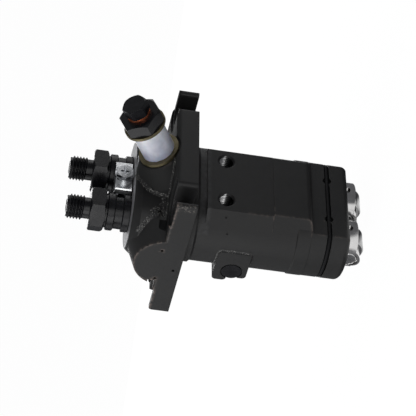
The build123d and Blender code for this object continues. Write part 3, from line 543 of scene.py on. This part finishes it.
def thread_tree():
    """Node tree that winds a ridge of trapezium section round Z, faded out at both ends."""
    tree = bpy.data.node_groups.new("cut_thread", "GeometryNodeTree")
    face = tree.interface
    face.new_socket("Thread", in_out="OUTPUT", socket_type="NodeSocketGeometry")
    sizes = (
        ("Root radius", thread_root), ("Ridge", thread_outer - thread_root),
        ("Pitch", thread_pitch), ("Turns", 5.0), ("Foot", 0.0), ("Outwards", 1.0),
    )
    for label, value in sizes:
        socket = face.new_socket(label, in_out="INPUT", socket_type="NodeSocketFloat")
        socket.default_value = value
    face.new_socket("Finish", in_out="INPUT", socket_type="NodeSocketMaterial")
    add, wire = tree.nodes.new, tree.links.new
    given = add("NodeGroupInput").outputs

    def maths(operation, first, second):
        made = add("ShaderNodeMath")
        made.operation = operation
        for value, socket in ((first, made.inputs[0]), (second, made.inputs[1])):
            if isinstance(value, float):
                socket.default_value = value
            else:
                wire(value, socket)
        return made.outputs[0]

    spiral = add("GeometryNodeCurveSpiral")
    spiral.inputs["Resolution"].default_value = thread_segments
    wire(given["Turns"], spiral.inputs["Rotations"])
    wire(given["Root radius"], spiral.inputs["Start Radius"])
    wire(given["Root radius"], spiral.inputs["End Radius"])
    wire(maths("MULTIPLY", given["Turns"], given["Pitch"]), spiral.inputs["Height"])
    upright = add("GeometryNodeSetCurveNormal")
    upright.mode = "Z_UP"
    wire(spiral.outputs["Curve"], upright.inputs["Curve"])
    along = add("GeometryNodeSplineParameter")
    end = maths("MINIMUM", along.outputs["Factor"], maths("SUBTRACT", 1.0, along.outputs["Factor"]))
    fade = maths("MINIMUM", maths("MULTIPLY", end, thread_fade), 1.0)
    tapered = add("GeometryNodeSetCurveRadius")
    wire(upright.outputs["Curve"], tapered.inputs["Curve"])
    wire(maths("MAXIMUM", fade, thread_tip), tapered.inputs["Radius"])
    section = add("GeometryNodeCurvePrimitiveQuadrilateral")
    section.mode = "TRAPEZOID"
    wire(given["Ridge"], section.inputs["Height"])
    wire(maths("MULTIPLY", given["Pitch"], thread_foot_share), section.inputs["Bottom Width"])
    wire(maths("MULTIPLY", given["Pitch"], thread_crest_share), section.inputs["Top Width"])
    section.inputs["Offset"].default_value = 0.0
    seated = add("GeometryNodeTransform")
    wire(section.outputs["Curve"], seated.inputs["Geometry"])
    lean = add("ShaderNodeCombineXYZ")
    wire(maths("MULTIPLY", given["Outwards"], math.radians(90)), lean.inputs["Z"])
    wire(lean.outputs["Vector"], seated.inputs["Rotation"])
    shift = add("ShaderNodeCombineXYZ")
    half = maths("MULTIPLY", given["Ridge"], -0.5)
    wire(maths("MULTIPLY", half, given["Outwards"]), shift.inputs["X"])
    wire(shift.outputs["Vector"], seated.inputs["Translation"])
    sweep = add("GeometryNodeCurveToMesh")
    sweep.inputs["Fill Caps"].default_value = True
    wire(tapered.outputs["Curve"], sweep.inputs["Curve"])
    wire(seated.outputs["Geometry"], sweep.inputs["Profile Curve"])
    lift = add("ShaderNodeCombineXYZ")
    wire(given["Foot"], lift.inputs["Z"])
    raised = add("GeometryNodeTransform")
    wire(sweep.outputs["Mesh"], raised.inputs["Geometry"])
    wire(lift.outputs["Vector"], raised.inputs["Translation"])
    realized = add("GeometryNodeRealizeInstances")
    wire(raised.outputs["Geometry"], realized.inputs["Geometry"])
    painted = add("GeometryNodeSetMaterial")
    wire(realized.outputs["Geometry"], painted.inputs["Geometry"])
    wire(given["Finish"], painted.inputs["Material"])
    wire(painted.outputs["Geometry"], add("NodeGroupOutput").inputs["Thread"])
    return tree


def grown(tree, **inputs):
    """The plain mesh that a node tree makes from its named inputs."""
    carrier = bpy.data.objects.new("carrier", bpy.data.meshes.new("carrier"))
    bpy.context.scene.collection.objects.link(carrier)
    modifier = carrier.modifiers.new("grow", "NODES")
    modifier.node_group = tree
    for item in tree.interface.items_tree:
        label = item.name.replace(" ", "_")
        if item.in_out == "INPUT" and label in inputs:
            modifier[item.identifier] = inputs[label]
    seen = carrier.evaluated_get(bpy.context.evaluated_depsgraph_get())
    mesh = bpy.data.meshes.new_from_object(seen)
    carrier.modifiers.clear()
    bpy.data.objects.remove(carrier)
    return mesh


threads = thread_tree()


def cutter_mesh(holes):
    """One mesh of round tools, each given as (foot, direction, radius, length)."""
    tool = bmesh.new()
    for foot, direction, radius, length in holes:
        turn = Vector(direction).to_track_quat("Z", "Y").to_matrix().to_4x4()
        place = Matrix.Translation(Vector(foot) + Vector(direction) * length / 2) @ turn
        bmesh.ops.create_cone(
            tool, cap_ends=True, segments=cutter_segments, radius1=radius, radius2=radius,
            depth=length, matrix=place,
        )
    mesh = bpy.data.meshes.new("cutters")
    tool.to_mesh(mesh)
    tool.free()
    return mesh


def bored(mesh, holes):
    """The mesh with round holes cut out of it."""
    objects = []
    for name, data in (("blank", mesh), ("cutters", cutter_mesh(holes))):
        obj = bpy.data.objects.new(name, data)
        bpy.context.scene.collection.objects.link(obj)
        objects.append(obj)
    blank, tool = objects
    cut = blank.modifiers.new("bore", "BOOLEAN")
    cut.operation, cut.solver, cut.object = "DIFFERENCE", "EXACT", tool
    result = bpy.data.meshes.new_from_object(blank.evaluated_get(bpy.context.evaluated_depsgraph_get()))
    blank.modifiers.clear()
    for obj in objects:
        bpy.data.objects.remove(obj)
    return result


def inner_runs(mesh, wanted):
    """Runs of inner corners of a closed mesh, each a list of (place, left normal, right normal)."""
    work = bmesh.new()
    work.from_mesh(mesh)
    at_vertex = {}
    for edge in work.edges:
        if len(edge.link_faces) != 2 or edge.calc_face_angle_signed(0.0) > inner_corner_angle:
            continue
        if wanted((edge.verts[0].co + edge.verts[1].co) / 2):
            for vertex in edge.verts:
                at_vertex.setdefault(vertex, []).append(edge)
    used, runs = set(), []
    ends = [vertex for vertex, edges in at_vertex.items() if len(edges) != 2]
    for start in ends + list(at_vertex):
        for first in at_vertex[start]:
            if first in used:
                continue
            places, sides, vertex, edge = [start.co.copy()], [], start, first
            while edge is not None:
                used.add(edge)
                after = edge.other_vert(vertex)
                loops = edge.link_loops
                left = next(loop for loop in loops if loop.vert == vertex)
                right = next(loop for loop in loops if loop.vert == after)
                sides.append((left.face.normal.copy(), right.face.normal.copy()))
                places.append(after.co.copy())
                vertex = after
                onward = [other for other in at_vertex[vertex] if other not in used]
                edge = onward[0] if len(at_vertex[vertex]) == 2 and onward else None
            run = []
            for number, place in enumerate(places):
                near = sides[max(0, number - 1):number + 1]
                left = sum((pair[0] for pair in near), Vector()).normalized()
                right = sum((pair[1] for pair in near), Vector()).normalized()
                run.append((place, left, right))
            runs.append(run)
    work.free()
    return runs


def evenly(run, step):
    """The run with a point about every step along it."""
    out = [run[0]]
    for before, after in zip(run, run[1:]):
        count = max(1, round((after[0] - before[0]).length / step))
        for number in range(1, count + 1):
            share = number / count
            out.append((
                before[0].lerp(after[0], share),
                before[1].lerp(after[1], share).normalized(),
                before[2].lerp(after[2], share).normalized(),
            ))
    return out


def heading(run, number):
    """Direction of a run at one of its points."""
    before, after = run[max(0, number - 1)][0], run[min(len(run) - 1, number + 1)][0]
    return (after - before).normalized()


def skin(work, rows):
    """New faces between neighbouring rows of vertices."""
    return [
        work.faces.new((a, d, c, b))
        for row, following in zip(rows, rows[1:])
        for a, b, c, d in zip(row, row[1:], following[1:], following)
    ]


def cast_fillet(work, run, reach, rough):
    """Rounds an inner corner with a rough concave strip that sinks into both faces."""
    run = evenly(run, fillet_spacing)
    if len(run) < 3:
        return
    coarse, fine = fillet_lumps
    rows = []
    for number, (place, left, right) in enumerate(run):
        along = heading(run, number)
        into_left = left.cross(along).normalized()
        into_right = right.cross(-along).normalized()
        halfway = (into_left + into_right).normalized()
        half_angle = into_left.angle(into_right) / 2
        radius = reach * math.tan(half_angle)
        centre = place + halfway * (reach / math.cos(half_angle))
        start, end = place + into_left * reach - centre, place + into_right * reach - centre
        row = []
        for turn in range(fillet_arc + 1):
            share = turn / fillet_arc
            spoke = start.lerp(end, share).normalized()
            point = centre + spoke * radius
            lump = noise.noise(point / coarse) + 0.6 * noise.noise(point / fine)
            lift = rough * lump * math.sin(math.pi * share)
            sink = fillet_sink if turn in (0, fillet_arc) else 0.0
            row.append(work.verts.new(point + spoke * (sink - lift)))
        rows.append(row)
    skin(work, rows)


def sand_line(work, surface):
    """A rough line of burnt-on sand that runs down from the inlet boss and across the lobe's root."""
    places = [Vector(place) * MM for place in sand_path]
    run = evenly([(place, Vector((0, 0, 1)), Vector((0, 0, 1))) for place in places], sand_spacing)
    coarse, fine = sand_lumps
    rows = []
    for number, (place, _, _) in enumerate(run):
        found, facing, _, _ = surface.find_nearest(place)
        aside = heading(run, number).cross(facing).normalized()
        taper = min(1.0, (number + 1) / sand_ends, (len(run) - number) / sand_ends)
        wander = noise.noise(place / (2.5 * MM)) * 0.8 * MM
        row = []
        for step in range(-sand_steps, sand_steps + 1):
            point = found + aside * (step / sand_steps * sand_width * taper + wander)
            hit, normal, _, _ = surface.find_nearest(point)
            lump = abs(noise.noise(hit / coarse)) + 0.7 * abs(noise.noise(hit / fine))
            bell = math.cos(math.pi / 2 * step / sand_steps)
            lift = sand_height * lump * bell - (sand_sink if abs(step) == sand_steps else 0.0)
            row.append(work.verts.new(hit + normal * lift))
        rows.append(row)
    for face in skin(work, rows):
        face.normal_update()
        _, normal, _, _ = surface.find_nearest(face.calc_center_median())
        if face.normal.dot(normal) < 0:
            face.normal_flip()


def cast_corner(place):
    """Whether a place on an inner corner lies outside the bores, on the head or beside the rack."""
    in_bore = any(math.hypot(place.x - x, place.y) < bore_radius for x in plunger_x)
    on_head = flange_top - 0.1 * MM < place.z < head_top - MM and abs(place.x) < head_corner_x
    rack_height = rack_corner_low < place.z < rack_corner_high
    beside_rack = rack_height and (abs(place.x) > rack_corner_x or place.y > rack_corner_y)
    return not in_bore and (on_head or beside_rack)


def rough_corners(mesh):
    """Rough fillets in the inner corners of the housing, and the line of sand, as one piece."""
    places = [vertex.co.copy() for vertex in mesh.vertices]
    surface = BVHTree.FromPolygons(places, [tuple(face.vertices) for face in mesh.polygons])
    work = bmesh.new()
    sand_line(work, surface)
    for run in inner_runs(mesh, cast_corner):
        middle = run[len(run) // 2][0]
        if middle.z > flange_top + MM and middle.y < 0:
            reach = lobe_fillet if middle.x < lobe_root_x else boss_fillet
            cast_fillet(work, run, reach, deep_lumps)
        else:
            cast_fillet(work, run, small_fillet, slight_lumps)
    fillets = bpy.data.meshes.new("cast_fillets")
    work.to_mesh(fillets)
    work.free()
    shade_by_angle(fillets, fillet_crease)
    add_piece("cast_fillets", fillets, burnt_sand, "housing")


def casting_holes():
    """Pits, tapped holes and worn mouths of pins and rack, each as (foot, direction, radius, length)."""
    half = cad_box[1].x
    holes = [
        ((-half - MM, y * MM, z * MM), (1, 0, 0), face_pit_radius, face_pit_reach) for y, z in face_pits
    ]
    for y, z, depth in side_pits:
        holes.append(((-half, y * MM, z * MM), side_pit_direction, side_pit_radius, depth * MM))
    for x in plunger_x:
        mouth = (x, hole_mouth_depth - pad_face, hole_z)
        holes.append((mouth, (0, 1, 0), hole_thread_radius, hole_thread_depth))
    for x in plunger_x:
        mouth = (x, -end_flat - MM, groove_z)
        holes.append((mouth, (0, 1, 0), pin_mouth_radius, MM + pin_mouth_depth))
    for side in (1, -1):
        mouth = (side * (rack_boss_face + MM), rack_y, rack_z)
        holes.append((mouth, (-side, 0, 0), rack_mouth_radius, MM + rack_mouth_depth))
    return holes


def housing_casting():
    """The housing with its pits and tapped holes cut, and rough cast fillets in its inner corners."""
    mesh = copy_of("pump_housing")
    rough_corners(mesh)
    mesh = bored(mesh, casting_holes())
    keep_shading(mesh, nodes["pump_housing"].data)
    housing = add_piece("housing_casting", mesh, casting, "housing")
    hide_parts("pump_housing")


def tapped_threads():
    """Inner threads of the two holes in the front pad."""
    ridge = grown(
        threads, Root_radius=hole_thread_radius + hole_thread_sink, Ridge=hole_thread_radius - hole_radius,
        Pitch=hole_thread_pitch, Turns=(hole_thread_depth - hole_thread_end) / hole_thread_pitch,
        Foot=0.0, Outwards=-1.0, Finish=tapped,
    )
    inwards = Matrix.Rotation(math.radians(-90), 4, "X")
    for number, x in enumerate(plunger_x, 1):
        thread = ridge.copy()
        thread.transform(Matrix.Translation((x, hole_mouth_depth - pad_face, hole_z)) @ inwards)
        shade_by_angle(thread, thread_crease)
        add_piece(f"tapped_thread_{number}", thread, tapped, "housing")


def outlet_threads():
    """Holders turned down to the thread's root, with the real thread wound on."""
    turns = (thread_high - thread_low - thread_runout) / thread_pitch
    for number, x in enumerate(plunger_x, 1):
        name = f"delivery_valve_holder_{number}"
        mesh = copy_of(name)
        for vertex in mesh.vertices:
            across = Vector((vertex.co.x - x, vertex.co.y))
            inside = thread_low < vertex.co.z <= thread_high + MM
            if inside and across.length > thread_root:
                across *= thread_root / across.length
                vertex.co.x, vertex.co.y = x + across.x, across.y
        shade_by_angle(mesh, holder_crease)
        holder = add_piece(f"outlet_holder_{number}", mesh, blackened, "housing")
        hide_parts(name)
        ridge = grown(
            threads, Root_radius=thread_root, Ridge=thread_outer - thread_root, Pitch=thread_pitch,
            Turns=turns, Foot=thread_low + thread_chamfer / 2, Finish=blackened,
        )
        ridge.transform(Matrix.Translation((x, 0, 0)))
        shade_by_angle(ridge, thread_crease)
        add_piece(f"outlet_thread_{number}", ridge, blackened, "housing")


def coil_springs():
    """Coil springs as pieces of their own on the housing, with the CAD's smooth shading kept."""
    springs = (
        ("plunger_spring", "plunger_coil", "tappet_{}_lift", plunger_spring_stroke),
        ("delivery_valve_spring", "delivery_valve_coil", "delivery_valve_{}_lift", valve_stroke),
    )
    for node, piece, joint, stroke in springs:
        for number, x in enumerate(plunger_x, 1):
            name = f"{node}_{number}"
            mesh = copy_of(name)
            keep_shading(mesh, nodes[name].data)
            coil = add_piece(f"{piece}_{number}", mesh, spring, "housing")
            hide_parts(name)
            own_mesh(coil)


housing_casting()
tapped_threads()
outlet_threads()
coil_springs()


# Stage, light and camera
def white_strip(finish):
    """How white the floor looks in polished metal: most on a strip that widens away from the pump."""
    along, across = finish.along(strip_ahead), finish.along(strip_aside)
    centre = finish.maths("MULTIPLY", along, strip_slant)
    gaps = []
    for side in (1, -1):
        middle = finish.maths("ADD", centre, side * strip_offset)
        gaps.append(finish.maths("ABSOLUTE", finish.maths("SUBTRACT", across, middle)))
    widening = finish.maths("MULTIPLY", finish.maths("MAXIMUM", along, 0.0), strip_widening)
    width = finish.maths("ADD", widening, strip_half_width)
    offset = finish.maths("MINIMUM", gaps[0], gaps[1])
    strip = finish.ramp(finish.maths("DIVIDE", offset, width), (0.45, 1.0), (0.9, 0.0))
    ahead_only = finish.maths("MULTIPLY", strip, finish.maths("GREATER_THAN", along, strip_start))
    spread = finish.node("VectorMath", operation="LENGTH")
    finish.wire(finish.place, spread.inputs[0])
    below = finish.ramp(spread.outputs["Value"], (spot_radius, 0.8), (spot_edge, 0.0))
    return finish.maths("MAXIMUM", ahead_only, below)


def stage_floor():
    """Pale floor that stays white to the camera and keeps a soft shadow."""
    mesh = bpy.data.meshes.new("studio_floor")
    signs = ((-1, -1), (1, -1), (1, 1), (-1, 1))
    mesh.from_pydata([(x * floor_half, y * floor_half, floor_z) for x, y in signs], [], [(0, 1, 2, 3)])
    floor = bpy.data.objects.new("studio_floor", mesh)
    bpy.context.scene.collection.objects.link(floor)
    finish = Finish("studio_white", roughness=0.9)
    glow = finish.node("Emission")
    glow.inputs["Color"].default_value = (1.0, 1.0, 1.0, 1.0)
    glow.inputs["Strength"].default_value = floor_glow
    path = finish.node("LightPath")
    direct = finish.maths("MAXIMUM", path.outputs["Is Camera Ray"], path.outputs["Is Transmission Ray"])
    finish.colour(finish.blend(direct, (0.28, 0.28, 0.29), (0.9, 0.9, 0.9)))
    mirrored = finish.maths("MULTIPLY", path.outputs["Is Glossy Ray"], white_strip(finish))
    seen = finish.maths("MULTIPLY", direct, floor_glow_share)
    mix = finish.node("MixShader")
    finish.wire(finish.maths("MAXIMUM", seen, mirrored), mix.inputs["Fac"])
    finish.wire(finish.shader.outputs[0], mix.inputs[1])
    finish.wire(glow.outputs[0], mix.inputs[2])
    finish.wire(mix.outputs[0], finish.tree.nodes["Material Output"].inputs["Surface"])
    mesh.materials.append(finish.material)


def white_surround():
    """World that is white to the camera and gives a low even fill to the object."""
    world = bpy.data.worlds.new("studio")
    bpy.context.scene.world = world
    world.use_nodes = True
    tree = world.node_tree
    tree.nodes.clear()
    add, wire = tree.nodes.new, tree.links.new
    fill, white = add("ShaderNodeBackground"), add("ShaderNodeBackground")
    fill.inputs["Color"].default_value = (0.95, 0.97, 1.0, 1.0)
    fill.inputs["Strength"].default_value = 0.3
    white.inputs["Color"].default_value = (1.0, 1.0, 1.0, 1.0)
    white.inputs["Strength"].default_value = 1.0
    path = add("ShaderNodeLightPath")
    mix = add("ShaderNodeMixShader")
    wire(path.outputs["Is Camera Ray"], mix.inputs["Fac"])
    wire(fill.outputs[0], mix.inputs[1])
    wire(white.outputs[0], mix.inputs[2])
    wire(mix.outputs[0], add("ShaderNodeOutputWorld").inputs["Surface"])


def softbox(name, place, size, power):
    """Rectangular area lamp at a place, turned to the pump's middle."""
    data = bpy.data.lights.new(name, "AREA")
    data.shape = "RECTANGLE"
    data.size, data.size_y = size
    data.energy = power
    lamp = bpy.data.objects.new(name, data)
    lamp.location = place
    lamp.rotation_euler = (Vector(lamp_aim) - Vector(place)).to_track_quat("-Z", "Y").to_euler()
    bpy.context.scene.collection.objects.link(lamp)


def photo_camera():
    """Camera at the photograph's place: the outlets point left and the front faces up."""
    right = Vector((0.0038, -0.1951, -0.9808))
    down = Vector((-0.7452, 0.6535, -0.1329))
    ahead = Vector((0.6668, 0.7314, -0.1429))
    data = bpy.data.cameras.new("photo_camera")
    data.sensor_fit = "HORIZONTAL"
    data.sensor_width = sensor_width
    data.lens = sensor_width * focal_pixels / photo_pixels
    camera = bpy.data.objects.new("photo_camera", data)
    turn = Matrix((right, -down, -ahead)).transposed().to_4x4()
    camera.matrix_world = Matrix.Translation(Vector((-550.74, -602.10, 105.68)) * MM) @ turn
    bpy.context.scene.collection.objects.link(camera)
    bpy.context.scene.camera = camera


stage_floor()
white_surround()
softbox("camera_box", (-0.68, -0.5, 0.06), size=(0.8, 0.18), power=1.2)
softbox("side_box", (-0.9, 0.05, 0.15), size=(0.6, 0.5), power=3.2)
softbox("far_side_box", (-0.55, 0.75, 0.25), size=(0.6, 0.6), power=2.0)
softbox("upper_box", (0.75, -0.35, 0.1), size=(0.7, 0.3), power=1.4)
softbox("back_box", (0.7, 0.6, -0.02), size=(0.7, 0.6), power=4.0)
photo_camera()
bpy.context.scene.view_settings.view_transform = "Standard"
